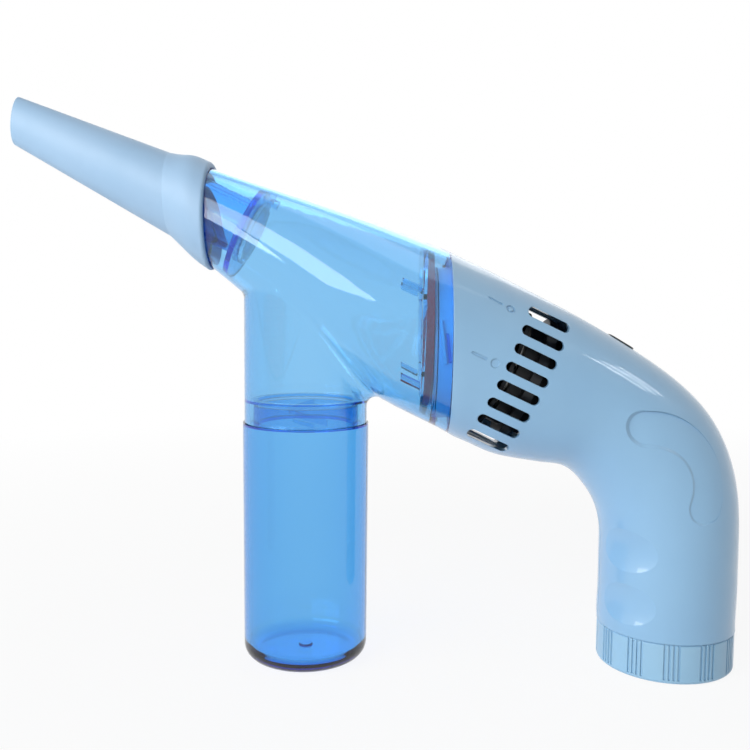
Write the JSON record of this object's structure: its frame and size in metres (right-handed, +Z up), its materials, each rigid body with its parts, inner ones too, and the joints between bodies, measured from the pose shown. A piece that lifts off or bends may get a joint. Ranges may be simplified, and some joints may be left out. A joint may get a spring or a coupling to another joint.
{
  "type": "handheld vacuum cleaner",
  "caption": "Small battery handheld vacuum cleaner with tapered nozzle, clear dust housing, twist-off cup and curved grip.",
  "frame": {"origin": "centre of the battery cap's flat foot, on the surface that the part stands on", "axes": "+X to the back of the grip, -X to the nozzle, +Z up, Y across"},
  "size_m": [0.2309, 0.0574, 0.1788],
  "materials": {
    "nozzle_matte": "matte moulded plastic, pale blue",
    "clear_blue": "clear tinted moulded plastic, blue",
    "silicone": "grey silicone",
    "filter_red": "red filter felt",
    "handle_gloss": "glossy moulded plastic, pale blue",
    "cap_satin": "satin moulded plastic, pale blue",
    "ring_blue": "glossy moulded plastic, pale blue",
    "black_plastic": "black moulded plastic",
    "steel": "plated steel",
    "iron": "laminated iron",
    "magnet": "ferrite magnet",
    "brass": "brass strip",
    "cell_jacket": "plain cell jacket over steel",
    "lead_red": "red wire cover",
    "lead_black": "black wire cover"
  },
  "bodies": {
    "handle": {"handle_left": "handle_gloss", "handle_right": "handle_gloss", "case_screws": "steel", "fan_cover": "ring_blue", "motor_can": "steel", "motor_endcap": "black_plastic", "motor_terminals": "brass", "motor_magnets": "magnet", "motor_cradle": "black_plastic", "switch_body": "black_plastic", "switch_contacts": "brass", "battery_sleeve": "black_plastic", "battery_cell_1": "cell_jacket", "battery_cell_2": "cell_jacket", "battery_cell_3": "cell_jacket", "battery_cell_4": "cell_jacket", "contact_carrier": "black_plastic", "upper_contacts": "steel", "lead_red": "lead_red", "lead_black": "lead_black", "lead_switch": "lead_red"},
    "rotor": {"impeller": "black_plastic", "motor_shaft": "steel", "armature": "iron"},
    "switch_slider": {"switch_button": "black_plastic"},
    "cap_insert": {"cap_contact_plate": "steel", "cap_springs": "steel"},
    "cap": {"battery_cap": "cap_satin"},
    "ring_gasket": {"front_seal": "silicone"},
    "housing": {"dust_housing": "clear_blue", "inlet_duct": "clear_blue", "filter_holder": "clear_blue", "filter_media": "filter_red"},
    "nozzle_body": {"nozzle": "nozzle_matte"},
    "flap": {"inlet_flap": "silicone"},
    "cup_gasket": {"cup_seal": "silicone"},
    "cup": {"dust_cup": "clear_blue"}
  },
  "joints": [
    {"name": "impeller_spin", "type": "hinge", "parent": "handle", "child": "rotor", "pos_m": [-0.0717, 0, 0.1026], "axis": [0.9041, 0, -0.4274], "continuous": true},
    {"name": "switch_slide", "type": "slide", "parent": "handle", "child": "switch_slider", "axis": [-0.8607, 0, 0.509], "range_m": [0, 0.0032]},
    {"name": "cap_drop", "type": "slide", "parent": "handle", "child": "cap_insert", "axis": [0, 0, -1], "range_m": [0, 0.00558]},
    {"name": "cap_twist", "type": "hinge", "parent": "cap_insert", "child": "cap", "pos_m": [0, 0, 0.0124], "axis": [0, 0, -1], "range_deg": [0, 100]},
    {"name": "housing_pull", "type": "slide", "parent": "handle", "child": "ring_gasket", "axis": [-1, 0, 0], "range_m": [0, 0.00446]},
    {"name": "housing_twist", "type": "hinge", "parent": "ring_gasket", "child": "housing", "pos_m": [-0.0717, 0, 0.1026], "axis": [-1, 0, 0], "range_deg": [0, 80]},
    {"name": "nozzle_pull", "type": "slide", "parent": "housing", "child": "nozzle_body", "axis": [-0.9041, 0, 0.4274], "range_m": [0, 0.02]},
    {"name": "flap_swing", "type": "hinge", "parent": "housing", "child": "flap", "pos_m": [-0.12831, 0, 0.14712], "axis": [0, -1, 0], "range_deg": [0, 55], "stiffness_Nm_per_rad": 0.00006, "springref_deg": -34.38},
    {"name": "cup_drop", "type": "slide", "parent": "housing", "child": "cup_gasket", "axis": [0, 0, -1], "range_m": [0, 0.00695]},
    {"name": "cup_twist", "type": "hinge", "parent": "cup_gasket", "child": "cup", "pos_m": [-0.117, 0, 0.0769], "axis": [0, 0, 1], "range_deg": [0, 78]}
  ],
  "couplings": [
    {"joint": "cap_drop", "follows": "cap_twist", "m_per_rad": 0.0031831},
    {"joint": "housing_pull", "follows": "housing_twist", "m_per_rad": 0.0031831},
    {"joint": "cup_drop", "follows": "cup_twist", "m_per_rad": 0.005093}
  ]
}
